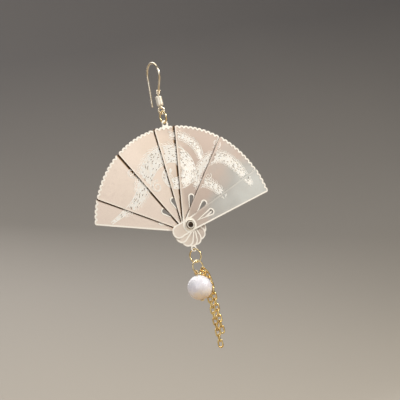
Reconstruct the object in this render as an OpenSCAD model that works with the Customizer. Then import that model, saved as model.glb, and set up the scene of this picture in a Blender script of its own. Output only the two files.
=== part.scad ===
// Fan earring: an ear wire, seven riveted metal blades, a pearl and two strands of fine chain.
// It hangs straight down from the ear wire. X runs to the right, -Y is the front and Z is up.
// The origin is the point inside the top of the ear wire's bend, where the ear carries it.

/* [Ear wire] */
// Diameter of the ear wire
hook_wire_d = 0.6; // [0.5:0.05:0.7]
// Radius of the bend over the ear, to the middle of the wire
bend_r = 3.3; // [3.2:0.1:3.6]
// Lean of the front leg from the vertical, in degrees
leg_lean = 34; // [30:1:36]
// Length of the straight back leg
back_leg_len = 8.5; // [7:0.5:10]
// Outward lean of the back leg, in degrees
back_lean = 8; // [4:1:10]
// Radius of the front loop, to the middle of the wire
loop_r = 0.85; // [0.8:0.05:0.95]
// Outer diameter of the barrel bead
barrel_d = 1.8; // [1.5:0.1:2]
// Length of the barrel bead
barrel_len = 2.8; // [2.4:0.1:3.2]
// Number of turns in the wound coil above the bead
coil_turns = 6; // [4:1:8]
// Diameter of the coil's fine wire
coil_wire_d = 0.24; // [0.2:0.02:0.28]

/* [Fan] */
// Radius of the fan from the rivet to the tips of its rim
fan_r = 28; // [26:0.5:30]
// Thickness of one blade
blade_t = 0.2; // [0.18:0.01:0.22]
// Gap between one blade and the next
blade_gap = 0.05; // [0.04:0.01:0.06]
// Half the angle that a narrow blade spans, in degrees
narrow_half = 7.5; // [7:0.5:8]
// Half the angle that a wide blade spans, in degrees
wide_half = 14.8; // [14:0.2:15.4]
// Half the width of every blade beside the rivet
waist_half = 1.8; // [1.7:0.05:1.9]
// Width of the raised border along each blade's edge
border_w = 0.42; // [0.3:0.02:0.5]
// Depth of the field inside the border
field_depth = 0.06; // [0.04:0.01:0.08]
// Height of the rim's scallops
scallop_h = 0.42; // [0.3:0.02:0.5]
// Reach of a tail past the rivet
tail_reach = 6; // [5.6:0.1:6]
// Distance of the teardrop slot's round end from the rivet
slot_pos = 8; // [7.6:0.1:8.4]
// Radius of the slot's round end
slot_r = 0.62; // [0.5:0.02:0.7]

/* [Rings and drop] */
// Diameter of the wire of the upper jump ring
hook_ring_wire_d = 0.5; // [0.4:0.02:0.5]
// Radius of the upper jump ring, to the middle of its wire
hook_ring_r = 1.65; // [1.6:0.05:1.8]
// Diameter of the wire of the two lower rings
ring_wire_d = 0.44; // [0.4:0.02:0.46]
// Radius of the two lower rings, to the middle of their wire
ring_r = 1.83; // [1.75:0.02:1.9]
// Diameter of the pearl
pearl_d = 6.8; // [6.4:0.1:7]

/* [Chain] */
// Outer length of one link
link_len = 2.45; // [2.35:0.05:2.5]
// Outer width of one link
link_w = 1.55; // [1.5:0.05:1.6]
// Diameter of the links' wire
link_wire_d = 0.36; // [0.32:0.01:0.36]
// Number of links in the longer strand
left_links = 14; // [10:1:16]
// Number of links in the shorter strand
right_links = 12; // [8:1:14]

/* [Hidden] */
$fn = 48;

// Small distances
seat_gap = 0.06;
bore_gap = 0.05;
link_gap = 0.17;

// Ear wire, with h the distance forward of the origin
wire_r = hook_wire_d / 2;
leg_r = wire_r - 0.01;
run_in = 0.1;
bend_z = wire_r - bend_r;
leg_top_h = bend_r * cos(leg_lean);
leg_top_z = bend_z - bend_r * sin(leg_lean);
leg_len = leg_top_h / sin(leg_lean);
knee_z = leg_top_z - leg_len * cos(leg_lean);
knee_r = 1;
bead_gap = 0.15;
loop_z = knee_z - bead_gap - barrel_len - bead_gap - wire_r - loop_r;
barrel_z = knee_z - bead_gap - barrel_len / 2;
barrel_round = 0.4;
coil_pitch = coil_wire_d * 0.96;
coil_r = wire_r + 0.03 + coil_wire_d / 2;
coil_start = 0.5;
neck_r = wire_r - 0.05;
neck_len = 2 * wire_r + 0.04;

// Upper ring and the tab that it passes through
hook_ring_z = loop_z - loop_r + wire_r + hook_ring_wire_d / 2 + seat_gap - hook_ring_r;
eyelet_r = 0.5;
tab_pos = fan_r + 0.8;
tab_r = 1;
tab_base_half = 1.25;
tab_z = hook_ring_z - hook_ring_r + hook_ring_wire_d / 2 + seat_gap - eyelet_r;
rivet_z = tab_z - tab_pos;

// Blades, from the left one at the back to the right one in front.
// The columns are the angle of the blade's middle line and whether it is a wide one.
BLADES = [
    [72.2, false],
    [50.3, true],
    [20.5, true],
    [0, false],
    [-20.5, true],
    [-50.3, true],
    [-72.2, false]
];
middle_blade = 4;
narrow_scallops = 5;
wide_scallops = 10;
layer_pitch = blade_t + blade_gap;
stack_half = 3 * layer_pitch + blade_t / 2;
slot_tip = 3.6;
lip_w = 0.42;
lip_tip = 2.5;
hub_r = 2.15;
tail_r = 1.9;
lug_pos = 6.5;
lug_r = 0.9;

// Rivet
rivet_bore_r = 0.75;
rivet_shank_r = 1.1;
rivet_lip_r = 1.5;
rivet_lip_t = 0.34;
rivet_step_r = 1.2;
rivet_step_t = 0.16;

// Lower rings
ring_wire_r = ring_wire_d / 2;
drop_ring_z = rivet_z - lug_pos - eyelet_r + ring_wire_r + seat_gap - ring_r;
drop_eye_z = drop_ring_z - 2 * ring_r + ring_wire_d + seat_gap;
drop_ring_turn = -65;
drop_eye_turn = 11;

// Pearl on its pin, a little to the left of the middle of the lower ring.
// The chain leans on it, so that it hangs a little forward of the plumb line.
pin_d = 0.36;
pin_r = pin_d / 2;
pin_eye_r = 0.6;
pin_angle = 36;
pin_x = -ring_r * sin(pin_angle);
pin_slack = 0.11;
pin_lift = (ring_wire_r + pin_r + pin_slack) / cos(pin_angle);
pin_top_z = drop_eye_z - ring_r * cos(pin_angle) + pin_lift;
pin_lean = 6.6;
pin_heading = 59;
pearl_r = pearl_d / 2;
pearl_drop = 2 * pin_eye_r + pin_r + seat_gap + pearl_r;
pin_head_r = 0.55;
pin_head_t = 0.25;

// Chain: each strand starts on the lower ring, leans out past the pearl and then hangs straight.
link_r = link_wire_d / 2;
link_bend_r = (link_w - link_wire_d) / 2;
link_straight = link_len - link_w;
link_pitch = link_len - 2 * link_wire_d - link_gap;
link_turns = [106, 16];
// Below the pearl both strands have turned on about their own axis by this much, in degrees
strand_twist = -30;
twist_after = 2;
twist_links = 3;
// The columns are the place on the lower ring and the heading in degrees, the lift over the middle
// of the ring's wire, and the leans of the uppermost links in degrees.
STRANDS = [
    [25.6, 42, 0.36, [33, 34.6, 12, 0]],
    [50.7, 3, 0.55, [39, 18, 6, 3]]
];

// A round wire ring in the plane of X and Z
module wire_ring(ring, wire) {
    rotate([90, 0, 0])
        rotate_extrude()
            translate([ring, 0])
                circle(r = wire);
}

// A straight rod of round wire from the origin down along Z
module wire_down(len, wire) {
    translate([0, 0, -len])
        cylinder(r = wire, h = len);
}

// Ear wire: back leg, bend, leaning front leg, knee, straight shank and front loop.
// The straight parts are a hair thinner than the bends and run a little way into them.
module ear_hook() {
    knee_up = knee_r * tan(leg_lean / 2);
    color("#c9a35c") {
        translate([0, 0, bend_z])
            rotate([90, 0, 90])
                rotate([0, 0, back_lean])
                    rotate_extrude(angle = 180 + leg_lean - back_lean)
                        translate([bend_r, 0])
                            circle(r = wire_r);
        translate([0, bend_r * cos(back_lean), bend_z + bend_r * sin(back_lean)])
            rotate([back_lean, 0, 0]) {
                translate([0, 0, run_in])
                    wire_down(back_leg_len + run_in, leg_r);
                translate([0, 0, -back_leg_len])
                    sphere(r = leg_r);
            }
        translate([0, -leg_top_h, leg_top_z])
            rotate([leg_lean, 0, 0])
                translate([0, 0, run_in])
                    wire_down(leg_len - knee_up + 2 * run_in, leg_r);
        translate([0, -knee_r, knee_z - knee_up])
            rotate([90, 0, 90])
                rotate_extrude(angle = leg_lean)
                    translate([knee_r, 0])
                        circle(r = wire_r);
        translate([0, 0, knee_z - knee_up + run_in])
            wire_down(knee_z - knee_up + run_in - loop_z - loop_r - neck_len / 2, leg_r);
        translate([0, 0, loop_z + loop_r + neck_len])
            wire_down(neck_len, neck_r);
        translate([0, 0, loop_z])
            wire_ring(loop_r, wire_r);
    }
}

// Fine wire wound round the foot of the front leg
module hook_coil() {
    color("#d8b878")
        translate([0, 0, knee_z])
            rotate([leg_lean, 0, 0])
                for (i = [0 : coil_turns - 1])
                    translate([0, 0, coil_start + i * coil_pitch])
                        rotate_extrude()
                            translate([coil_r, 0])
                                circle(r = coil_wire_d / 2);
}

// Barrel bead on the shank, drilled for the wire
module barrel_bead() {
    color("#efe3cf")
        translate([0, 0, barrel_z])
            difference() {
                rotate_extrude()
                    union() {
                        translate([0, -barrel_len / 2])
                            square([barrel_d / 2 - barrel_round, barrel_len]);
                        translate([0, barrel_round - barrel_len / 2])
                            square([barrel_d / 2, barrel_len - 2 * barrel_round]);
                        for (side = [-1, 1])
                            intersection() {
                                translate([barrel_d / 2 - barrel_round, side * (barrel_len / 2 - barrel_round)])
                                    circle(r = barrel_round);
                                translate([0, -barrel_len / 2])
                                    square([barrel_d, barrel_len]);
                            }
                    }
                cylinder(r = wire_r + bore_gap, h = barrel_len + 1, center = true);
            }
}

// Jump ring between the ear wire's loop and the fan
module hook_ring() {
    color("#d8b46a")
        translate([0, 0, hook_ring_z])
            rotate([0, 0, 90])
                wire_ring(hook_ring_r, hook_ring_wire_d / 2);
}

// Straight-sided part of a blade's outline, from the rivet to past the rim
module wedge(half, inset) {
    edge_lean = atan((fan_r * sin(half) - waist_half) / (fan_r * cos(half)));
    reach = 1.1 * fan_r;
    foot = waist_half - inset / cos(edge_lean);
    head = foot + reach * tan(edge_lean);
    polygon([[-foot, 0], [foot, 0], [head, reach], [-head, reach]]);
}

// Round disc with the rim's scallops
module scalloped_disc(half, count, inset) {
    step = 2 * half / count;
    half_pitch = fan_r * sin(step / 2);
    bump_r = (half_pitch * half_pitch + scallop_h * scallop_h) / (2 * scallop_h);
    circle(r = fan_r - bump_r, $fn = 180);
    for (i = [0 : count - 1])
        rotate(-half + (i + 0.5) * step)
            translate([0, fan_r - bump_r])
                circle(r = bump_r - inset);
}

// Tail past the rivet, with a round end
module tail(inset) {
    overlap = 1;
    polygon([
        [inset - tail_r, tail_r - tail_reach],
        [tail_r - inset, tail_r - tail_reach],
        [waist_half - inset, overlap],
        [inset - waist_half, overlap]
    ]);
    translate([0, tail_r - tail_reach])
        circle(r = tail_r - inset);
}

// Teardrop with its round end outward and its point towards the rivet.
// Its straight sides end just inside the round end.
module teardrop(round_r, tip) {
    side = acos(round_r / (slot_pos - tip));
    side_r = 0.98 * round_r;
    translate([0, slot_pos])
        circle(r = round_r);
    polygon([
        [0, tip],
        [side_r * sin(side), slot_pos - side_r * cos(side)],
        [-side_r * sin(side), slot_pos - side_r * cos(side)]
    ]);
}

// Whole outline of a blade, drawn in from its edge by inset
module blade_outline(wide, inset) {
    half = wide ? wide_half : narrow_half;
    count = wide ? wide_scallops : narrow_scallops;
    intersection() {
        wedge(half, inset);
        scalloped_disc(half, count, inset);
    }
    tail(inset);
}

// Top tab and bottom lug of the middle blade
module tab_and_lug() {
    translate([0, tab_pos])
        circle(r = tab_r);
    polygon([
        [-tab_base_half, fan_r - 2 * scallop_h],
        [tab_base_half, fan_r - 2 * scallop_h],
        [tab_r * 0.8, tab_pos - 0.1],
        [-tab_r * 0.8, tab_pos - 0.1]
    ]);
    translate([0, -lug_pos])
        circle(r = lug_r);
}

// One blade: etched field, raised border, raised lip round its slot, bore for the rivet
module blade(number) {
    spec = BLADES[number - 1];
    wide = spec[1];
    is_middle = number == middle_blade;
    color("#e3d3c0")
        translate([0, -(number - middle_blade) * layer_pitch, rivet_z])
            rotate([90, 0, 0])
                rotate([0, 0, spec[0]])
                    translate([0, 0, -blade_t / 2])
                        difference() {
                            linear_extrude(blade_t)
                                union() {
                                    blade_outline(wide, 0);
                                    if (is_middle)
                                        tab_and_lug();
                                }
                            translate([0, 0, blade_t - field_depth])
                                linear_extrude(blade_t)
                                    difference() {
                                        blade_outline(wide, border_w);
                                        teardrop(slot_r + lip_w, lip_tip);
                                        circle(r = hub_r);
                                    }
                            translate([0, 0, -blade_t])
                                linear_extrude(3 * blade_t)
                                    teardrop(slot_r, slot_tip);
                            translate([0, 0, -blade_t])
                                cylinder(r = rivet_shank_r + bore_gap, h = 3 * blade_t);
                            if (is_middle)
                                for (y = [tab_pos, -lug_pos])
                                    translate([0, y, -blade_t])
                                        cylinder(r = eyelet_r, h = 3 * blade_t);
                        }
}

// Hollow rivet with a stepped lip at each end
module rivet() {
    color("#e8d2a0")
        translate([0, 0, rivet_z])
            rotate([90, 0, 0])
                difference() {
                    union() {
                        cylinder(r = rivet_shank_r, h = 2 * stack_half + rivet_lip_t, center = true);
                        for (side = [0, 1])
                            mirror([0, 0, side])
                                translate([0, 0, stack_half + bore_gap]) {
                                    cylinder(r1 = rivet_lip_r, r2 = rivet_step_r + 0.1, h = rivet_lip_t);
                                    cylinder(r = rivet_step_r, h = rivet_lip_t + rivet_step_t);
                                }
                    }
                    cylinder(r = rivet_bore_r, h = 4 * stack_half, center = true);
                }
}

// Ring through the lug of the middle blade
module drop_ring() {
    color("#d8b46a")
        translate([0, 0, drop_ring_z])
            rotate([0, 0, drop_ring_turn])
                wire_ring(ring_r, ring_wire_r);
}

// Ring that carries the pearl and the chain
module drop_eye() {
    color("#d8b46a")
        translate([0, 0, drop_eye_z])
            rotate([0, 0, drop_eye_turn])
                wire_ring(ring_r, ring_wire_r);
}

// Hangs the pearl and its pin, drawn down from the origin, from their place on the lower ring
module at_pin() {
    rotate([0, 0, drop_eye_turn])
        translate([pin_x, 0, pin_top_z])
            rotate([0, 0, pin_heading - drop_eye_turn])
                rotate([0, pin_lean, 0])
                    rotate([0, 0, drop_eye_turn - pin_heading])
                        children();
}

// Eye pin: loop, shaft through the pearl and head under it
module pearl_pin() {
    shaft_top = 2 * pin_eye_r;
    head_at = pearl_drop + pearl_r + seat_gap;
    color("#d8b46a")
        at_pin() {
            translate([0, 0, -pin_eye_r])
                rotate([0, 0, 90])
                    wire_ring(pin_eye_r, pin_r);
            translate([0, 0, -shaft_top])
                wire_down(head_at - shaft_top, pin_r * 0.9);
            translate([0, 0, -head_at - pin_head_t])
                cylinder(r1 = pin_head_r * 0.7, r2 = pin_head_r, h = pin_head_t);
        }
}

// Round pearl, drilled for the pin
module pearl() {
    color("#e6e0e4")
        at_pin()
            translate([0, 0, -pearl_drop])
                difference() {
                    sphere(r = pearl_r);
                    cylinder(r = pin_r + bore_gap, h = pearl_d + 1, center = true);
                }
}

// One chain link standing in the plane of X and Z, centred on the origin
module link() {
    rotate([90, 0, 0])
        for (side = [0, 1])
            mirror([0, side, 0]) {
                translate([0, link_straight / 2, 0])
                    rotate_extrude(angle = 180)
                        translate([link_bend_r, 0])
                            circle(r = link_r);
                for (x = [-link_bend_r, link_bend_r])
                    translate([x, 0, 0])
                        rotate([-90, 0, 0])
                            cylinder(r = link_r, h = link_straight / 2);
            }
}

// Lean of link number i, given the leans of the uppermost links
function lean(i, leans) = i < len(leans) ? leans[i] : 0;

// Turn of link number i about its strand
function turn(i) = link_turns[i % 2] + strand_twist * min(max(i - twist_after, 0), twist_links) / twist_links;

// Way out and down from the top of a strand to the middle of link number i
function drop_to(i, leans) = i == 0
    ? link_pitch / 2 * [sin(lean(0, leans)), -cos(lean(0, leans))]
    : drop_to(i - 1, leans) + link_pitch / 2 * [
        sin(lean(i - 1, leans)) + sin(lean(i, leans)),
        -cos(lean(i - 1, leans)) - cos(lean(i, leans))
      ];

// One strand of the chain, from the lower ring down
module strand(row, count) {
    spec = STRANDS[row];
    ring_angle = spec[0];
    heading = spec[1];
    leans = spec[3];
    color("#c79a48")
        rotate([0, 0, drop_eye_turn])
            translate([ring_r * sin(ring_angle), 0, drop_eye_z - ring_r * cos(ring_angle) + spec[2]])
                rotate([0, 0, heading - drop_eye_turn])
                    for (i = [0 : count - 1]) {
                        at = drop_to(i, leans);
                        translate([at[0], 0, at[1]])
                            rotate([0, -lean(i, leans), 0])
                                rotate([0, 0, turn(i) - heading])
                                    link();
                    }
}

ear_hook();
hook_coil();
barrel_bead();
hook_ring();
blade(1);  // blade_1
blade(2);  // blade_2
blade(3);  // blade_3
blade(4);  // blade_4
blade(5);  // blade_5
blade(6);  // blade_6
blade(7);  // blade_7
rivet();
drop_ring();
drop_eye();
pearl_pin();
pearl();
strand(0, left_links);  // chain_left
strand(1, right_links);  // chain_right
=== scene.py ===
"""Looks of the fan earring: materials, etched relief, wound coil, camera, lights and stage.

Lengths are in millimetres and are turned into metres by MM, unless a comment says otherwise.
The fan's own plane has u to the right and v up, both from the rivet, when seen from the front.
"""
import math
import random

import bmesh
import bpy
from mathutils import Matrix, Vector, noise as noise_field


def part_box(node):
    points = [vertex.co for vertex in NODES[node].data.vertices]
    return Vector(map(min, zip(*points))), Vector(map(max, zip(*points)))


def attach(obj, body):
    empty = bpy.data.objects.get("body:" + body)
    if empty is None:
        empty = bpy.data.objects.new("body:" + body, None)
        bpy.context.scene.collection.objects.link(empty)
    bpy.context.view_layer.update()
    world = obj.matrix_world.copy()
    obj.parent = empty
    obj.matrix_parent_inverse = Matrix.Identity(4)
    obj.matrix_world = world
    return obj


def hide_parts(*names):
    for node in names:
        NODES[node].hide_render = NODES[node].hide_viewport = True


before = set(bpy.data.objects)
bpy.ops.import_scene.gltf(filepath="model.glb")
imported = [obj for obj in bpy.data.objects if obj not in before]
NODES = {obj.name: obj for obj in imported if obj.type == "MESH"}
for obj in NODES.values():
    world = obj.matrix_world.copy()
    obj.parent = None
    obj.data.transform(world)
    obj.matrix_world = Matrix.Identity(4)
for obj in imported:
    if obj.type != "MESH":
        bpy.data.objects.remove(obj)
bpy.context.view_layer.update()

MM = 0.001


def mm_box(node):
    """Lowest and highest corners of a node's solid at rest."""
    low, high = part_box(node)
    return low / MM, high / MM


def middle_of(node):
    """Middle of the box round a node's solid at rest."""
    low, high = mm_box(node)
    return (low + high) / 2


# Sizes that the solids are built with
FAN_R = 28.0
FIELD_DEPTH = 0.06
BORDER_W = 0.42
WAIST_HALF = 1.8
NARROW_HALF = 7.5
WIDE_HALF = 14.8
LEG_LEAN = math.radians(34.0)
COIL_TURNS = 6
COIL_WIRE_R = 0.12
COIL_R = 0.45
COIL_PITCH = 0.2304
PEARL_R = 3.4
PIN_LEAN = math.radians(6.6)
PIN_HEADING = math.radians(59.0)
RIVET_BORE_R = 0.75
RIVET_STEP_R = 1.2
# Angle of the middle line, to the left of up, and half the angle spanned, for each blade, in degrees
BLADES = {
    1: (72.2, NARROW_HALF), 2: (50.3, WIDE_HALF), 3: (20.5, WIDE_HALF), 4: (0.0, NARROW_HALF),
    5: (-20.5, WIDE_HALF), 6: (-50.3, WIDE_HALF), 7: (-72.2, NARROW_HALF),
}
MIDDLE = 4

RIVET_Z = middle_of("rivet").z
FRONT_Y = {blade: mm_box(f"blade_{blade}")[0].y for blade in BLADES}


def body_of(blade):
    """Name of the body that a blade belongs to."""
    return "fan" if blade == MIDDLE else f"leaf_{blade}"


def edge_slope(blade):
    """Sideways step of a blade's straight edge for each step outwards."""
    half = math.radians(BLADES[blade][1])
    return (FAN_R * math.sin(half) - WAIST_HALF) / (FAN_R * math.cos(half))


# Object helpers

def add_object(name, data):
    """New object with that data, linked into the scene."""
    obj = bpy.data.objects.new(name, data)
    bpy.context.scene.collection.objects.link(obj)
    return obj


def smooth_object(name, work):
    """New smooth-shaded object with a bmesh's faces; the bmesh is freed."""
    for face in work.faces:
        face.smooth = True
    mesh = bpy.data.meshes.new(name)
    work.to_mesh(mesh)
    work.free()
    return add_object(name, mesh)


def give(obj, material):
    """Gives an object one material."""
    obj.data.materials.clear()
    obj.data.materials.append(material)


# Shader helpers. Noise scales are per metre.

# Parts of a noise's range that tones are spread over
MID_NOISE = (0.35, 0.65)
WIDE_NOISE = (0.3, 0.7)


def new_material(name):
    """Empty node material with its output; returns (material, node tree, Principled shader)."""
    material = bpy.data.materials.new(name)
    material.use_nodes = True
    tree = material.node_tree
    tree.nodes.clear()
    out = tree.nodes.new("ShaderNodeOutputMaterial")
    shader = tree.nodes.new("ShaderNodeBsdfPrincipled")
    tree.links.new(shader.outputs["BSDF"], out.inputs["Surface"])
    return material, tree, shader


def feed(tree, shader, values):
    """Sets each named input of a shader to a number, or links it to a socket."""
    for name, value in values.items():
        if isinstance(value, float):
            shader.inputs[name].default_value = value
        else:
            tree.links.new(value, shader.inputs[name])


def math_node(tree, operation, a, b=None):
    """Math node on sockets or numbers; returns its output."""
    node = tree.nodes.new("ShaderNodeMath")
    node.operation = operation
    for socket, value in zip(node.inputs, (a, b)):
        if isinstance(value, (int, float)):
            socket.default_value = value
        elif value is not None:
            tree.links.new(value, socket)
    return node.outputs[0]


def plus(tree, a, b):
    """Sum of two sockets or numbers."""
    return math_node(tree, "ADD", a, b)


def minus(tree, a, b):
    """Difference of two sockets or numbers."""
    return math_node(tree, "SUBTRACT", a, b)


def times(tree, product, *factors):
    """Product of sockets and numbers."""
    for factor in factors:
        product = math_node(tree, "MULTIPLY", product, factor)
    return product


def absolute(tree, value):
    """Value without its sign."""
    return math_node(tree, "ABSOLUTE", value)


def map_range(tree, value, low, high, to_low=0.0, to_high=1.0, smooth=False):
    """Maps value from low..high to to_low..to_high, clamped."""
    node = tree.nodes.new("ShaderNodeMapRange")
    node.interpolation_type = "SMOOTHSTEP" if smooth else "LINEAR"
    tree.links.new(value, node.inputs["Value"])
    node.inputs["From Min"].default_value = low
    node.inputs["From Max"].default_value = high
    node.inputs["To Min"].default_value = to_low
    node.inputs["To Max"].default_value = to_high
    return node.outputs["Result"]


def noise(tree, coords, scale, detail=2.0, roughness=0.5, distortion=0.0):
    """Noise texture; returns its factor."""
    node = tree.nodes.new("ShaderNodeTexNoise")
    tree.links.new(coords, node.inputs["Vector"])
    node.inputs["Scale"].default_value = scale
    node.inputs["Detail"].default_value = detail
    node.inputs["Roughness"].default_value = roughness
    node.inputs["Distortion"].default_value = distortion
    return node.outputs["Fac"]


def ramp(tree, value, stops):
    """Colour ramp through (position, (r, g, b)) stops; returns its colour."""
    node = tree.nodes.new("ShaderNodeValToRGB")
    tree.links.new(value, node.inputs["Fac"])
    elements = node.color_ramp.elements
    while len(elements) < len(stops):
        elements.new(0.5)
    for element, (position, colour) in zip(elements, stops):
        element.position = position
        element.color = (*colour, 1.0)
    return node.outputs["Color"]


def mix(tree, factor, a, b):
    """Mix of two colours, each a socket or (r, g, b); returns its output."""
    node = tree.nodes.new("ShaderNodeMix")
    node.data_type = "RGBA"
    tree.links.new(factor, node.inputs["Factor"])
    for socket, value in ((node.inputs[6], a), (node.inputs[7], b)):
        if isinstance(value, tuple):
            socket.default_value = (*value, 1.0)
        else:
            tree.links.new(value, socket)
    return node.outputs[2]


def bump(tree, height, depth, strength):
    """Bump of that depth in mm; returns its normal."""
    node = tree.nodes.new("ShaderNodeBump")
    node.inputs["Strength"].default_value = strength
    node.inputs["Distance"].default_value = depth * MM
    tree.links.new(height, node.inputs["Height"])
    return node.outputs["Normal"]


def object_coords(tree):
    """Object coordinates, in metres in the part's frame at rest."""
    return tree.nodes.new("ShaderNodeTexCoord").outputs["Object"]


def separate(tree, vector):
    """X, Y and Z outputs of a vector."""
    node = tree.nodes.new("ShaderNodeSeparateXYZ")
    tree.links.new(vector, node.inputs[0])
    return node.outputs


def normal_parts(tree):
    """X, Y and Z of the surface's normal in the part's frame."""
    return separate(tree, tree.nodes.new("ShaderNodeTexCoord").outputs["Normal"])


def fan_place(tree, coords):
    """X, Y and height above the rivet of a place, in metres."""
    x, y, z = separate(tree, coords)
    return x, y, minus(tree, z, RIVET_Z * MM)


def from_rivet(tree, x, up):
    """Distance from the rivet's axis, in metres."""
    return math_node(tree, "SQRT", plus(tree, times(tree, x, x), times(tree, up, up)))


# Materials

def gold_material(name, light, deep, roughness, wear_scale, metallic=1.0):
    """Polished gold plating with faint wear and a deeper tone in the noise's hollows."""
    material, tree, shader = new_material(name)
    coords = object_coords(tree)
    cloud = noise(tree, coords, wear_scale, 3.0)
    fine = noise(tree, coords, wear_scale * 6)
    feed(tree, shader, {
        "Base Color": mix(tree, map_range(tree, cloud, *MID_NOISE), deep, light),
        "Metallic": metallic,
        "Roughness": map_range(tree, fine, *WIDE_NOISE, roughness * 0.8, roughness * 1.25),
        "Normal": bump(tree, fine, 0.01, 0.35),
    })
    return material


CREAM = (1.0, 0.95, 0.86)
# Painted reflections on the fields: tones that change across the fan, as places across the sweep and colours;
# the sweep is in radians from up
FIELD_REFLECTION_TONES = (
    (0.0, (0.92, 0.79, 0.70)), (0.34, (0.88, 0.76, 0.66)), (0.48, (0.77, 0.65, 0.55)),
    (0.56, (0.58, 0.475, 0.41)), (0.74, (0.60, 0.49, 0.425)), (0.86, (0.52, 0.51, 0.48)),
    (0.97, (0.66, 0.67, 0.64)))
FIELD_SWEEP = 1.4
FIELD_WANDER = 0.2
MOTTLE_TONE = (0.52, 0.44, 0.37)
MOTTLE_SHARE = 0.16
# Height up to which the tails keep the middle's painted reflection tone, and the share of cream painted over
# them as a brighter reflection
TAIL_TONE_TOP = 6
TAIL_SHINE = 0.2

# Brown of the painted shade in the seams, on the slot walls, on the left cut edges and in the rivet's bore
# and step, then the tan fringe of the seams' painted shadow
SHADE_BROWN = (0.11, 0.052, 0.02)
SEAM_SHADOW_TAN = (0.55, 0.37, 0.20)
# Width of the painted shadow beside each front blade's left edge, at the rim, and its strength
SEAM_SHADOWS = {2: (0.38, 0.95), 3: (0.74, 1.0), 4: (0.42, 0.95), 5: (0.78, 1.0)}
# Width of the painted shadow near the rivet, as a share of its width at the rim
SEAM_NARROWING = 0.45
# How far the border along each blade's left edge is dulled
DULL_EDGE = {1: 0.0, 2: 0.65, 3: 0.65, 4: 0.6, 5: 0.6, 6: 0.9, 7: 0.8}
# Half width and ends of the slots along a blade's middle line, from the rivet
SLOT_HALF = 0.8
SLOT_FOOT = 3.0
SLOT_TOP = 9.0


def blade_material(blade):
    """Etched champagne plate: satin field with painted reflections, bright raised border and lip, and brown
    painted shade on the left cut edges, on the slot walls and in the seams.
    """
    material, tree, shader = new_material(f"fan_champagne_{blade}")
    coords = object_coords(tree)
    x, y, up = fan_place(tree, coords)
    mottle = noise(tree, coords, 1500.0, 3.0, 0.6)
    grain = noise(tree, coords, 9000.0)
    raised = times(tree, in_front(tree, blade, y, 0.4, 0.7), left_border(tree, blade, x, up))
    colour = mix(tree, raised, field_and_reflection_colour(tree, coords, x, up, mottle), CREAM)
    # Painted shadow of the next blade's left edge on this blade
    if blade + 1 in SEAM_SHADOWS:
        colour = seam_shadow_colour(tree, blade, x, y, up, colour)
    # Painted shade on the walls of the slot
    colour = mix(tree, shaded_slot_wall(tree, blade, x, up), colour, SHADE_BROWN)
    # Painted shade on the left-facing cut edges of the blades that lie over another
    if blade > 1:
        colour = mix(tree, shaded_cut_edge(tree, x, up), colour, SHADE_BROWN)
    feed(tree, shader, {
        "Base Color": colour,
        "Metallic": map_range(tree, raised, 0.0, 1.0, 0.9, 0.35),
        "Roughness": map_range(tree, mottle, *WIDE_NOISE, 0.36, 0.46),
        "Normal": bump(tree, grain, 0.006, 0.5),
    })
    return material


def in_front(tree, blade, y, start, end):
    """1 on the blade's front, fading to 0 from start to end, both as shares of the field's depth."""
    face = FRONT_Y[blade] * MM
    return map_range(tree, y, face + start * FIELD_DEPTH * MM, face + end * FIELD_DEPTH * MM, 1.0, 0.0)


def field_and_reflection_colour(tree, coords, x, up, mottle):
    """Satin tone with painted reflections that change across the fan, a fine mottle, and a painted brighter
    reflection on the tails.
    """
    turn = math_node(tree, "ARCTAN2", x, math_node(tree, "MAXIMUM", up, TAIL_TONE_TOP * MM))
    cloud = noise(tree, coords, 90.0)
    turn = plus(tree, turn, map_range(tree, cloud, *WIDE_NOISE, -FIELD_WANDER, FIELD_WANDER))
    # Painted reflection: the tone follows the turn about the rivet, with a noisy wander
    field = ramp(tree, map_range(tree, turn, -FIELD_SWEEP, FIELD_SWEEP), FIELD_REFLECTION_TONES)
    field = mix(tree, map_range(tree, mottle, 0.35, 0.7, 0.0, MOTTLE_SHARE), field, MOTTLE_TONE)
    # Painted reflection: cream laid over the tails, fading out just above the rivet
    return mix(tree, map_range(tree, up, -1.5 * MM, 3.0 * MM, TAIL_SHINE, 0.0), field, CREAM)


def along_and_across(tree, angle, x, up):
    """Distance along a line from the rivet at that angle to the left of up, and to the right of it."""
    along = plus(tree, times(tree, x, -math.sin(angle)), times(tree, up, math.cos(angle)))
    across = plus(tree, times(tree, x, math.cos(angle)), times(tree, up, math.sin(angle)))
    return along, across


def left_edge(tree, blade, x, up):
    """Distance along a blade's left edge, and inwards from it."""
    lean = math.atan(edge_slope(blade))
    along, across = along_and_across(tree, math.radians(BLADES[blade][0]) + lean, x, up)
    return along, plus(tree, across, WAIST_HALF * math.cos(lean) * MM)


def left_border(tree, blade, x, up):
    """1 everywhere but on the border along the blade's own left edge, which is duller."""
    along, inset = left_edge(tree, blade, x, up)
    on_border = map_range(tree, inset, (BORDER_W + 0.04) * MM, (BORDER_W + 0.08) * MM, 1.0, 0.0)
    above = map_range(tree, along, 2.0 * MM, 4.0 * MM)
    return minus(tree, 1.0, times(tree, on_border, above, DULL_EDGE[blade]))


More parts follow.
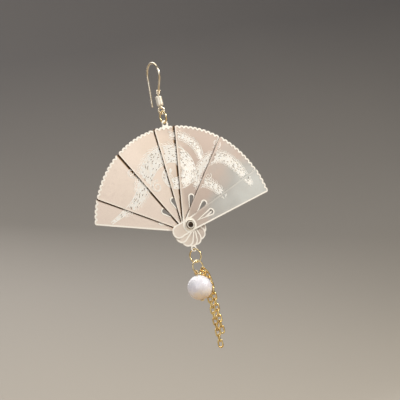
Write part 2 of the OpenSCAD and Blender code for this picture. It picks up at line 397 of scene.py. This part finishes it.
def seam_shadow_colour(tree, blade, x, y, up, colour):
    """Colour with a painted brown shadow added beside the left edge of the next blade, which lies in front.
    """
    at_rim, strength = SEAM_SHADOWS[blade + 1]
    along, inset = left_edge(tree, blade + 1, x, up)
    width = map_range(tree, along, 2 * MM, FAN_R * MM, SEAM_NARROWING * at_rim * MM, at_rim * MM)
    share = math_node(tree, "DIVIDE", times(tree, inset, -1.0), width)
    reach = times(tree, map_range(tree, along, 1.0 * MM, 2.5 * MM, 0.0, strength),
                  in_front(tree, blade, y, 1.5, 2.0))
    fringe = times(tree, map_range(tree, share, 0.75, 1.15, 0.8, 0.0, smooth=True), reach)
    core = times(tree, map_range(tree, share, 0.45, 0.85, 1.0, 0.0, smooth=True), reach)
    return mix(tree, core, mix(tree, fringe, colour, SEAM_SHADOW_TAN), SHADE_BROWN)


def side_facing(tree):
    """1 on faces that stand on edge to the fan's plane, 0 on its front and back."""
    return map_range(tree, absolute(tree, normal_parts(tree)[1]), 0.5, 0.3)


def shaded_slot_wall(tree, blade, x, up):
    """1 on the walls of a blade's teardrop slot, where brown painted shade goes."""
    along, across = along_and_across(tree, math.radians(BLADES[blade][0]), x, up)
    near = map_range(tree, absolute(tree, across), SLOT_HALF * MM, (SLOT_HALF + 0.1) * MM, 1.0, 0.0)
    low = map_range(tree, along, (SLOT_FOOT - 0.4) * MM, SLOT_FOOT * MM)
    high = map_range(tree, along, SLOT_TOP * MM, (SLOT_TOP + 0.4) * MM, 1.0, 0.0)
    return times(tree, low, high, near, side_facing(tree))


def shaded_cut_edge(tree, x, up):
    """1 on the straight cut edges that face left, away from the light, where brown painted shade goes; 0 on
    the faces, the rim and the ends.
    """
    nx, _, nz = normal_parts(tree)
    cross = minus(tree, times(tree, nz, x), times(tree, nx, up))
    facing_left = math_node(tree, "DIVIDE", cross, from_rivet(tree, x, up))
    return times(tree, map_range(tree, facing_left, 0.55, 0.75), side_facing(tree))


# Tones of the painted shade in the etching: the flecks and the lines' roots
PIT_SHADE = (0.42, 0.34, 0.26)
DEEP_PIT_SHADE = (0.20, 0.15, 0.11)
ROOT_PIT_SHADE_SHARE = 0.1


def relief_material(blade):
    """Bright frosted metal of the etched lines, with a little painted shade about their roots."""
    material, tree, shader = new_material(f"fan_relief_{blade}")
    coords = object_coords(tree)
    floor = FRONT_Y[blade] + FIELD_DEPTH
    root = map_range(tree, separate(tree, coords)[1], (floor - 0.032) * MM, (floor - 0.012) * MM)
    cloud = noise(tree, coords, 1400.0)
    colour = mix(tree, map_range(tree, cloud, *MID_NOISE), (0.98, 0.93, 0.85), (1.0, 0.99, 0.95))
    feed(tree, shader, {
        # Painted shade about the roots of the lines
        "Base Color": mix(tree, times(tree, root, ROOT_PIT_SHADE_SHARE), colour, PIT_SHADE),
        "Metallic": 0.2,
        "Roughness": 0.36,
        "Normal": bump(tree, cloud, 0.02, 0.4),
    })
    return material


def fleck_material(blade):
    """Dark flecks of painted shade, standing for the shade in the pits between the etched lines."""
    material, tree, shader = new_material(f"fan_flecks_{blade}")
    cloud = noise(tree, object_coords(tree), 2200.0)
    feed(tree, shader, {
        "Base Color": mix(tree, map_range(tree, cloud, *MID_NOISE), DEEP_PIT_SHADE, PIT_SHADE),
        "Metallic": 0.7,
        "Roughness": 0.5,
        "Normal": bump(tree, cloud, 0.02, 0.4),
    })
    return material


def rivet_material():
    """Champagne plating with brown painted shade down the bore and in the step of the lip."""
    material, tree, shader = new_material("rivet_gold")
    coords = object_coords(tree)
    x, _, up = fan_place(tree, coords)
    radius = from_rivet(tree, x, up)
    # Painted shade down the bore and in the step of the lip
    bore = map_range(tree, radius, (RIVET_BORE_R + 0.02) * MM, (RIVET_BORE_R + 0.07) * MM, 1.0, 0.0)
    from_step = absolute(tree, minus(tree, radius, RIVET_STEP_R * MM))
    groove = map_range(tree, from_step, 0.03 * MM, 0.14 * MM, 0.95, 0.0)
    cloud = noise(tree, coords, 900.0)
    colour = mix(tree, map_range(tree, cloud, *MID_NOISE), (0.95, 0.86, 0.72), CREAM)
    feed(tree, shader, {
        "Base Color": mix(tree, math_node(tree, "MAXIMUM", bore, groove), colour, SHADE_BROWN),
        "Metallic": 0.6,
        "Roughness": 0.3,
        "Normal": bump(tree, cloud, 0.01, 0.3),
    })
    return material


# Tones of the pearl from its foot to its top, with a painted warm reflection at the foot
PEARL_TONES_WITH_REFLECTION = (
    (0.0, (0.93, 0.66, 0.40)), (0.22, (0.97, 0.82, 0.66)), (0.4, (0.97, 0.90, 0.90)),
    (0.62, (0.97, 0.94, 1.0)), (1.0, (1.0, 0.98, 1.0)))
PEARL_SHADE = (0.70, 0.64, 0.76)


def pearl_material(centre_z):
    """Imitation pearl: lavender-white lacquer with a painted peach reflection low down and painted shade in
    the wrinkles' hollows, soft gloss over it.
    """
    material, tree, shader = new_material("pearl")
    coords = object_coords(tree)
    cloud = noise(tree, coords, 420.0, 3.0, 0.6)
    wrinkle = noise(tree, coords, 1500.0, 4.0, 0.55, 1.2)
    rise = map_range(tree, separate(tree, coords)[2], (centre_z - PEARL_R) * MM, (centre_z + PEARL_R) * MM)
    rise = plus(tree, rise, map_range(tree, cloud, *WIDE_NOISE, -0.08, 0.08))
    shaded = map_range(tree, wrinkle, 0.52, 0.40, 0.0, 0.3)
    feed(tree, shader, {
        # Painted warm reflection low down, and painted shade in the wrinkles' hollows
        "Base Color": mix(tree, shaded, ramp(tree, rise, PEARL_TONES_WITH_REFLECTION), PEARL_SHADE),
        "Metallic": 0.05,
        "Roughness": 0.3,
        "Coat Weight": 0.6,
        "Coat Roughness": 0.22,
        "Normal": bump(tree, wrinkle, 0.12, 0.8),
    })
    return material


hook_gold = gold_material("hook_gold", (0.96, 0.88, 0.74), (0.80, 0.66, 0.46), 0.2, 500.0)
bead_gold = gold_material("bead_gold", (1.0, 0.93, 0.80), (0.93, 0.82, 0.64), 0.4, 400.0, 0.4)
ring_gold = gold_material("ring_gold", (1.0, 0.86, 0.54), (0.82, 0.60, 0.28), 0.2, 600.0)
chain_gold = gold_material("chain_gold", (1.0, 0.80, 0.38), (0.66, 0.42, 0.13), 0.2, 700.0)
for number in BLADES:
    give(NODES[f"blade_{number}"], blade_material(number))
for node_name in ("hook_ring", "drop_ring", "drop_eye", "pearl_pin"):
    give(NODES[node_name], ring_gold)
give(NODES["ear_hook"], hook_gold)
give(NODES["barrel_bead"], bead_gold)
give(NODES["rivet"], rivet_material())


# Etched relief: a generic spray of scales, scrolls and comb strokes

# The sunk field, by distance from the rivet, and the clear strip inside its border
FIELD_TOP_R = 26.9
FIELD_LOW_R = 9.5
EDGE_MARGIN = 0.12
# Heights over the field
RELIEF_FOOT = -0.004
RELIEF_H = 0.05
FLECK_H = 0.055
# Scale outline as shares of its length and width, size of its top, and drop of the top to its root
TILE_OUTLINE = ((-0.5, -0.42), (0.1, -0.5), (0.38, -0.34), (0.5, 0.0), (0.38, 0.34), (0.1, 0.5), (-0.5, 0.42))
TILE_TOP = 0.86
TILE_SLOPE = 0.7
# Width of a ridge's flat top, as a share of its foot, and the fewest places that make a ridge
RIDGE_TOP = 0.45
RIDGE_PLACES = 3


def in_blade(blade, u, v, inset):
    """True if a place in the fan's plane is on that blade, at least inset from its straight edges."""
    turn = math.radians(BLADES[blade][0])
    x = u * math.cos(turn) + v * math.sin(turn)
    y = v * math.cos(turn) - u * math.sin(turn)
    slope = edge_slope(blade)
    return abs(x) <= WAIST_HALF + y * slope - inset / math.cos(math.atan(slope)) and y > 0


def visible_blade(u, v):
    """Frontmost blade at a place in the fan's plane, or None."""
    for blade in sorted(BLADES, reverse=True):
        if in_blade(blade, u, v, 0.0):
            return blade
    return None


def in_field(blade, u, v):
    """True if a place is in the sunk field of that blade, clear of its border and its slot."""
    radius = math.hypot(u, v)
    return FIELD_LOW_R < radius < FIELD_TOP_R and in_blade(blade, u, v, BORDER_W + EDGE_MARGIN)


class Relief:
    """Raised work on the blades' fields, gathered as one mesh for each blade."""

    def __init__(self, height, slope):
        self.height = height
        self.slope = slope
        self.verts = {blade: [] for blade in BLADES}
        self.faces = {blade: [] for blade in BLADES}

    def point(self, blade, u, v, height):
        """Adds a vertex at that height over the field, and returns its number."""
        y = FRONT_Y[blade] + FIELD_DEPTH - height
        self.verts[blade].append((u * MM, y * MM, (v + RIVET_Z) * MM))
        return len(self.verts[blade]) - 1

    def tile(self, u, v, direction, length, width):
        """Scale with a round tip, pointing along direction."""
        blade = visible_blade(u, v)
        if blade is None:
            return
        cos, sin = math.cos(direction), math.sin(direction)
        outline = [(u + a * length * cos - b * width * sin, v + a * length * sin + b * width * cos)
                   for a, b in TILE_OUTLINE]
        if not all(in_field(blade, *place) for place in outline):
            return
        low = [self.point(blade, *place, RELIEF_FOOT) for place in outline]
        top = [self.point(blade, u + TILE_TOP * (a - u), v + TILE_TOP * (b - v),
                          self.height * (1 - self.slope * (0.5 - step[0])))
               for (a, b), step in zip(outline, TILE_OUTLINE)]
        count = len(outline)
        for i in range(count):
            j = (i + 1) % count
            self.faces[blade].append((low[i], low[j], top[j], top[i]))
        self.faces[blade].append(tuple(top))

    def ridge(self, places, widths):
        """Raised line through places, cut where it leaves a blade's field."""
        run, owner = [], None
        for i, place in enumerate(places):
            blade = visible_blade(*place)
            if blade is not None and not in_field(blade, *place):
                blade = None
            if blade is None or blade != owner:
                self.strip(owner, places, widths, run)
                run, owner = [], blade
            if blade is not None:
                run.append(i)
        self.strip(owner, places, widths, run)

    def strip(self, blade, places, widths, run):
        """Builds one unbroken run of a ridge, given as the numbers of its places."""
        if len(run) < RIDGE_PLACES:
            return
        section = ((-1, RELIEF_FOOT), (-RIDGE_TOP, self.height), (RIDGE_TOP, self.height), (1, RELIEF_FOOT))
        rows = []
        for n, i in enumerate(run):
            before, after = places[run[max(n - 1, 0)]], places[run[min(n + 1, len(run) - 1)]]
            du, dv = after[0] - before[0], after[1] - before[1]
            norm = math.hypot(du, dv) or 1.0
            half = widths[i] / 2
            side_u, side_v = -dv / norm * half, du / norm * half
            u, v = places[i]
            rows.append([self.point(blade, u + side_u * s, v + side_v * s, h) for s, h in section])
        for a, b in zip(rows, rows[1:]):
            for i in range(len(section) - 1):
                self.faces[blade].append((a[i], a[i + 1], b[i + 1], b[i]))
        for row in (rows[0], list(reversed(rows[-1]))):
            self.faces[blade].append(tuple(reversed(row)))

    def build(self, name, material_of):
        """One mesh object for each blade that has relief."""
        for blade in BLADES:
            if not self.faces[blade]:
                continue
            mesh = bpy.data.meshes.new(f"{name}_{blade}")
            mesh.from_pydata(self.verts[blade], [], self.faces[blade])
            work = bmesh.new()
            work.from_mesh(mesh)
            bmesh.ops.recalc_face_normals(work, faces=work.faces)
            work.to_mesh(mesh)
            work.free()
            piece = add_object(f"{name}_{blade}", mesh)
            give(piece, material_of(blade))
            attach(piece, body_of(blade))


relief, flecks = Relief(RELIEF_H, TILE_SLOPE), Relief(FLECK_H, 0.0)
chance = random.Random(11)

PATH_STEP = 0.12
# Scales of a band: their size, then pitch, length and width as shares of it
SCALE = 0.62
SCALE_PITCH = 0.84
SCALE_LENGTH = 1.3
SCALE_WIDTH = 1.02
# Flecks: share of the scales that have one, then its slip, length and width as shares of the scale's
# size, and its turn in radians
FLECK_SHARE = 0.32
FLECK_SLIP = 0.3
FLECK_LENGTHS = (0.6, 1.3)
FLECK_WIDTHS = (0.26, 0.38)
FLECK_TURN = 0.7
# Line along each side of a band: its distance from the band and its width
OUTLINE_GAP = 0.16
OUTLINE_W = 0.26
# Strokes: width, then its size at the root and its loss by the tip as shares of that
STROKE_W = 0.2
STROKE_ROOT = 1.15
STROKE_TAPER = 0.75
# Gap to the band, steps, curl in radians, and how the length swings from stroke to stroke
STROKE_GAP = 0.3
STROKE_STEPS = 9
STROKE_CURL = 0.9
STROKE_SWING = 0.25
STROKE_BEAT = 2.4
# Scrolls: gap between parallel lines, share of the radius wound off, places for each turn and the
# fewest in all, then the line's size at its start and its loss by the end as shares of a stroke's
SCROLL_GAP = 0.42
SCROLL_WIND = 0.86
SCROLL_PLACES = 36
SCROLL_LEAST = 24
SCROLL_ROOT = 1.1
SCROLL_TAPER = 0.4


def between(p, q, r, s, t):
    """Value at t, from 0 to 1, on the smooth curve from q to r with p before them and s after."""
    return 0.5 * (2 * q + (r - p) * t + (2 * p - 5 * q + 4 * r - s) * t * t
                  + (3 * q - p - 3 * r + s) * t ** 3)


def spline(rows):
    """Smooth curve through rows of equal length, resampled about every PATH_STEP; returns rows."""
    result = []
    for i in range(len(rows) - 1):
        a, b = rows[max(i - 1, 0)], rows[i]
        c, d = rows[i + 1], rows[min(i + 2, len(rows) - 1)]
        count = max(2, round(math.hypot(c[0] - b[0], c[1] - b[1]) / PATH_STEP))
        for n in range(count):
            t = n / count
            result.append(tuple(between(p, q, r, s, t) for p, q, r, s in zip(a, b, c, d)))
    result.append(tuple(rows[-1]))
    return result


def heading(path, i):
    """Direction of a path at row i, as an angle."""
    before, after = path[max(i - 1, 0)], path[min(i + 1, len(path) - 1)]
    return math.atan2(after[1] - before[1], after[0] - before[0])


def beside(path, i, offset):
    """Place at that offset to the left of row i of a path."""
    angle = heading(path, i) + math.pi / 2
    return path[i][0] + offset * math.cos(angle), path[i][1] + offset * math.sin(angle)


def stations(path, pitch):
    """Row numbers of a path at about every pitch along it, each with its count from 1."""
    travelled, done = 0.0, 0
    for i in range(1, len(path)):
        travelled += math.hypot(path[i][0] - path[i - 1][0], path[i][1] - path[i - 1][1])
        if travelled >= done * pitch:
            done += 1
            yield i, done


def scaled_band(rows):
    """Band of overlapping scales with dark flecks of painted shade on them. The rows are (u, v, half width).
    """
    path = spline(rows)
    for side in (-1, 1):
        line = [beside(path, i, side * (path[i][2] + OUTLINE_GAP)) for i in range(len(path))]
        relief.ridge(line, [OUTLINE_W] * len(path))
    for i, column in stations(path, SCALE * SCALE_PITCH):
        half = path[i][2]
        count = max(1, int(2 * half / SCALE))
        shift = 0.5 if column % 2 else 0.0
        for n in range(count + 1):
            offset = (n + shift - count / 2) * SCALE
            if abs(offset) >= half:
                continue
            relief.tile(*beside(path, i, offset), heading(path, i), SCALE * SCALE_LENGTH, SCALE * SCALE_WIDTH)
            if chance.random() < FLECK_SHARE:
                slip = SCALE * chance.uniform(-FLECK_SLIP, FLECK_SLIP)
                direction = heading(path, i) + chance.uniform(-FLECK_TURN, FLECK_TURN)
                flecks.tile(*beside(path, i, offset + slip), direction,
                            SCALE * chance.uniform(*FLECK_LENGTHS), SCALE * chance.uniform(*FLECK_WIDTHS))


def comb(rows, side, length, pitch, sweep):
    """Curved strokes along one side of a band, swept back by an angle."""
    path = spline(rows)
    widths = [STROKE_W * (STROKE_ROOT - STROKE_TAPER * n / STROKE_STEPS) for n in range(STROKE_STEPS + 1)]
    for i, stroke in stations(path, pitch):
        u, v = beside(path, i, side * (path[i][2] + STROKE_GAP))
        base = heading(path, i) + side * (math.pi / 2 + sweep)
        reach = length * (1 - STROKE_SWING + STROKE_SWING * math.cos(STROKE_BEAT * stroke))
        places = []
        for n in range(STROKE_STEPS + 1):
            angle = base + side * STROKE_CURL * (n / STROKE_STEPS)
            u += reach / STROKE_STEPS * math.cos(angle)
            v += reach / STROKE_STEPS * math.sin(angle)
            places.append((u, v))
        relief.ridge(places, widths)


def scroll(centre, radius, turns, start, hand, lines=2):
    """Spiral of parallel lines that winds in to centre."""
    count = max(SCROLL_LEAST, int(turns * SCROLL_PLACES))
    widths = [STROKE_W * (SCROLL_ROOT - SCROLL_TAPER * (n / count)) for n in range(count + 1)]
    for line in range(lines):
        outer = radius - line * SCROLL_GAP
        places = []
        for n in range(count + 1):
            t = n / count
            angle = start + hand * 2 * math.pi * turns * t
            reach = outer * (1 - SCROLL_WIND * t)
            places.append((centre[0] + reach * math.cos(angle), centre[1] + reach * math.sin(angle)))
        relief.ridge(places, widths)


# Bands of scales, as (u, v, half width) rows
MAIN_BAND = [
    (-22.5, 4.6, 0.1), (-18.2, 6.6, 0.5), (-14.4, 8.6, 1.0), (-11.2, 11.6, 1.5), (-9.4, 15.4, 1.9),
    (-6.0, 18.9, 2.2), (-1.2, 20.4, 2.2), (2.9, 18.6, 2.0), (4.2, 15.0, 1.7), (2.0, 12.2, 1.4),
    (-1.6, 12.0, 1.1), (-3.3, 14.4, 0.9), (-1.6, 16.4, 0.6)]
ARCH_BAND = [
    (5.2, 11.4, 0.3), (7.6, 14.6, 0.7), (11.2, 17.0, 1.0), (15.4, 16.8, 1.2), (19.0, 13.8, 1.1),
    (21.4, 9.9, 0.7), (22.6, 7.4, 0.2)]
CREST_BAND = [(0.9, 25.4, 0.12), (3.6, 24.8, 0.4), (6.4, 23.0, 0.55), (8.2, 20.4, 0.5), (8.7, 17.6, 0.3)]
PLUME_BAND = [(4.6, 10.4, 0.3), (7.4, 11.0, 0.7), (10.2, 9.6, 0.8), (12.3, 7.2, 0.6), (13.0, 5.4, 0.2)]
# Rows of strokes: band, side with 1 for its left, length, pitch, sweep in radians
COMBS = (
    (CREST_BAND, 1, 1.5, 0.5, 0.7),
    (CREST_BAND, -1, 1.4, 0.55, 0.6),
    (MAIN_BAND[3:8], 1, 1.9, 0.55, 0.7),
    (MAIN_BAND[1:5], -1, 1.2, 0.6, 0.6),
    (MAIN_BAND[7:12], -1, 0.9, 0.55, 0.5),
    (ARCH_BAND, 1, 1.6, 0.5, 0.8),
    (ARCH_BAND, -1, 1.1, 0.75, 0.7),
    (PLUME_BAND, 1, 1.5, 0.6, 0.6),
    (PLUME_BAND, -1, 1.3, 0.6, 0.6),
)

for band in (MAIN_BAND, ARCH_BAND, PLUME_BAND, CREST_BAND):
    scaled_band(band)
for row_of_strokes in COMBS:
    comb(*row_of_strokes)
scroll((14.6, 20.9), 1.6, 1.5, 3.6, 1)
scroll((9.6, 12.4), 1.0, 1.3, 0.6, -1, lines=1)
scroll((-13.2, 17.0), 1.5, 1.4, 5.2, -1)
scroll((-6.6, 12.0), 1.9, 1.5, 1.2, 1)
relief.build("relief", relief_material)
flecks.build("flecks", fleck_material)


# Wound coil on the ear wire, as a true helix

COIL_SEGMENTS = 28
COIL_SIDES = 10
# Thickness of the wire's very end, as a share, and the segments over which it comes to its full size
COIL_TIP = 0.35
COIL_TAPER = 5


def make_coil():
    """Tube along a helix round the foot of the front leg, in place of the plain stack of rings."""
    axis = Matrix.Translation(middle_of("hook_coil") * MM) @ Matrix.Rotation(LEG_LEAN, 4, "X")
    work = bmesh.new()
    rings = []
    count = (COIL_TURNS - 1) * COIL_SEGMENTS
    for i in range(count + 1):
        angle = 2 * math.pi * i / COIL_SEGMENTS
        height = COIL_PITCH * (i - count / 2) / COIL_SEGMENTS
        out = Vector((math.cos(angle), math.sin(angle), 0))
        centre = out * COIL_R + Vector((0, 0, height))
        wire_r = COIL_WIRE_R * min(1.0, COIL_TIP + min(i, count - i) / COIL_TAPER)
        ring = []
        for s in range(COIL_SIDES):
            turn = 2 * math.pi * s / COIL_SIDES
            place = centre + (out * math.cos(turn) + Vector((0, 0, math.sin(turn)))) * wire_r
            ring.append(work.verts.new(axis @ (place * MM)))
        rings.append(ring)
    for a, b in zip(rings, rings[1:]):
        for s in range(COIL_SIDES):
            after = (s + 1) % COIL_SIDES
            work.faces.new((a[s], a[after], b[after], b[s]))
    work.faces.new(rings[0])
    work.faces.new(reversed(rings[-1]))
    bmesh.ops.recalc_face_normals(work, faces=work.faces)
    coil = smooth_object("coil_helix", work)
    give(coil, hook_gold)
    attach(coil, "hook")
    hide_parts("hook_coil")


make_coil()


# Chain, with the full round wire of its links

PLATING = 0.03
WELD = 0.001


def make_chain(node):
    """The node's own links, welded and grown by the plating all over."""
    work = bmesh.new()
    work.from_mesh(NODES[node].data)
    bmesh.ops.remove_doubles(work, verts=work.verts, dist=WELD * MM)
    bmesh.ops.recalc_face_normals(work, faces=work.faces)
    work.normal_update()
    for vert, normal in [(vert, vert.normal.copy()) for vert in work.verts]:
        vert.co += normal * PLATING * MM
    links = smooth_object(f"{node}_links", work)
    give(links, chain_gold)
    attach(links, "fan")
    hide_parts(node)


make_chain("chain_left")
make_chain("chain_right")


# Pearl with wrinkled lacquer

WRINKLE = 0.06
PIT_R = 0.5
PIT_DEPTH = 0.09
# Frequency and place in the noise of the broad dents and of the creases, and the dents' octaves
DENT_OCTAVES = 3
DENT_SCALE = 2.3
DENT_SHIFT = Vector((3.1, 0.4, 7.7))
CREASE_SCALE = 6.5
CREASE_SHIFT = Vector((1.7, 5.2, 2.9))
CREASE_SHARPNESS = 0.6


def make_pearl():
    """Round pearl whose skin has fine wrinkles and sinks in round its two drill holes."""
    centre = middle_of("pearl")
    axis = Vector((math.sin(PIN_LEAN) * math.cos(PIN_HEADING), math.sin(PIN_LEAN) * math.sin(PIN_HEADING),
                   math.cos(PIN_LEAN)))
    work = bmesh.new()
    bmesh.ops.create_icosphere(work, subdivisions=6, radius=1.0)
    for vert in work.verts:
        way = vert.co.normalized()
        dent = noise_field.fractal(way * DENT_SCALE + DENT_SHIFT, 1.0, 2.0, DENT_OCTAVES)
        crease = abs(noise_field.noise(way * CREASE_SCALE + CREASE_SHIFT)) ** CREASE_SHARPNESS
        from_hole = PEARL_R * math.sqrt(max(0.0, 1 - way.dot(axis) ** 2))
        sink = PIT_DEPTH * max(0.0, 1 - from_hole / PIT_R) ** 2
        radius = PEARL_R - 0.5 * WRINKLE + WRINKLE * (0.5 * dent + 0.5 * crease) - sink
        vert.co = (centre + way * radius) * MM
    skin = smooth_object("pearl_skin", work)
    give(skin, pearl_material(centre.z))
    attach(skin, "fan")
    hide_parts("pearl")


make_pearl()


# Camera, at the photograph's place and lens

FOCAL_PX = 1564.0
IMAGE_PX = 400.0
SENSOR_W = 36.0
CAMERA_DISTANCE = 429.0
RIVET_PX = (188.33, 225.35)
ROLL, YAW, PITCH = (math.radians(a) for a in (10.9, 30.5, -4.5))


def place_camera():
    """Camera in the part's frame, from its turn and distance to the rivet."""
    turn = Matrix.Rotation(ROLL, 3, "Z") @ Matrix.Rotation(YAW, 3, "Y") @ Matrix.Rotation(PITCH, 3, "X")
    across = (RIVET_PX[0] - IMAGE_PX / 2) / FOCAL_PX * CAMERA_DISTANCE
    up = -(RIVET_PX[1] - IMAGE_PX / 2) / FOCAL_PX * CAMERA_DISTANCE
    # Fan axes u, v and n, with n towards the viewer, are the part's X, Z and -Y
    to_part = Matrix(((1, 0, 0), (0, 0, -1), (0, 1, 0)))
    place = to_part @ (turn.transposed() @ Vector((-across, -up, CAMERA_DISTANCE)))
    data = bpy.data.cameras.new("camera")
    data.sensor_width = SENSOR_W
    data.lens = FOCAL_PX / IMAGE_PX * SENSOR_W
    data.clip_start = 0.01
    data.clip_end = 20.0
    camera = add_object("camera", data)
    axes = (to_part @ turn.transposed()).to_4x4()
    camera.matrix_world = Matrix.Translation((place + Vector((0, 0, RIVET_Z))) * MM) @ axes
    bpy.context.scene.camera = camera


place_camera()


# Stage and light. The stage and the lights' sides are in metres.

FLOOR_Z = -0.135
WALL_Y = 0.62
BEND_R = 0.3
BEND_STEPS = 24
STAGE_HALF_X = 2.5
STAGE_NEAR_Y = -2.5
STAGE_TOP_Z = 2.0
# Tones of the sheet from the floor up to PAPER_TOP_Z
PAPER_TONES = ((0.0, (0.47, 0.425, 0.36)), (0.35, (0.40, 0.37, 0.335)), (1.0, (0.20, 0.19, 0.188)))
PAPER_TOP_Z = 0.14

LIGHT_TARGET = Vector((0, 0, -45))
# Name, place in mm, side, power in watts, colour
LIGHTS = (
    ("key", (330, -300, 190), 0.16, 1.6, (1.0, 0.97, 0.92)),
    ("fill", (-420, -420, 120), 0.6, 1.38, (0.97, 0.98, 1.0)),
    ("top", (0, 100, 480), 0.6, 1.8, (1.0, 0.98, 0.95)),
    ("back", (150, 420, 260), 0.5, 1.1, (1.0, 0.98, 0.96)),
)
SKY_COLOUR = (1.0, 0.98, 0.95, 1.0)
SKY_STRENGTH = 0.3


def make_stage():
    """Pale floor that sweeps up into a backdrop, all of one smooth sheet."""
    profile = [(STAGE_NEAR_Y, FLOOR_Z), (WALL_Y - BEND_R, FLOOR_Z)]
    for i in range(1, BEND_STEPS + 1):
        angle = math.pi / 2 * i / BEND_STEPS
        profile.append((WALL_Y - BEND_R + BEND_R * math.sin(angle),
                        FLOOR_Z + BEND_R - BEND_R * math.cos(angle)))
    profile.append((WALL_Y, STAGE_TOP_Z))
    verts = [(x, y, z) for y, z in profile for x in (-STAGE_HALF_X, STAGE_HALF_X)]
    faces = [(2 * i, 2 * i + 1, 2 * i + 3, 2 * i + 2) for i in range(len(profile) - 1)]
    mesh = bpy.data.meshes.new("floor")
    mesh.from_pydata(verts, [], faces)
    for polygon in mesh.polygons:
        polygon.use_smooth = True
    sheet = add_object("floor", mesh)
    material, tree, shader = new_material("stage_paper")
    coords = object_coords(tree)
    cloud = noise(tree, coords, 5.0)
    rise = plus(tree, separate(tree, coords)[2], map_range(tree, cloud, *WIDE_NOISE, -0.01, 0.01))
    paper = ramp(tree, map_range(tree, rise, FLOOR_Z, PAPER_TOP_Z), PAPER_TONES)
    feed(tree, shader, {"Base Color": paper, "Roughness": 0.9})
    give(sheet, material)


def area_light(name, place, side, power, colour):
    """Square area light at place that looks at the target."""
    data = bpy.data.lights.new(name, "AREA")
    data.shape = "RECTANGLE"
    data.size = side
    data.size_y = side
    data.energy = power
    data.color = colour
    light = add_object(name, data)
    light.location = Vector(place) * MM
    light.rotation_euler = (LIGHT_TARGET - Vector(place)).to_track_quat("-Z", "Y").to_euler()


make_stage()
for light_row in LIGHTS:
    area_light(*light_row)
world = bpy.data.worlds.new("studio")
world.use_nodes = True
sky = world.node_tree.nodes["Background"].inputs
sky["Color"].default_value = SKY_COLOUR
sky["Strength"].default_value = SKY_STRENGTH
bpy.context.scene.world = world

bpy.context.scene.view_settings.view_transform = "Standard"
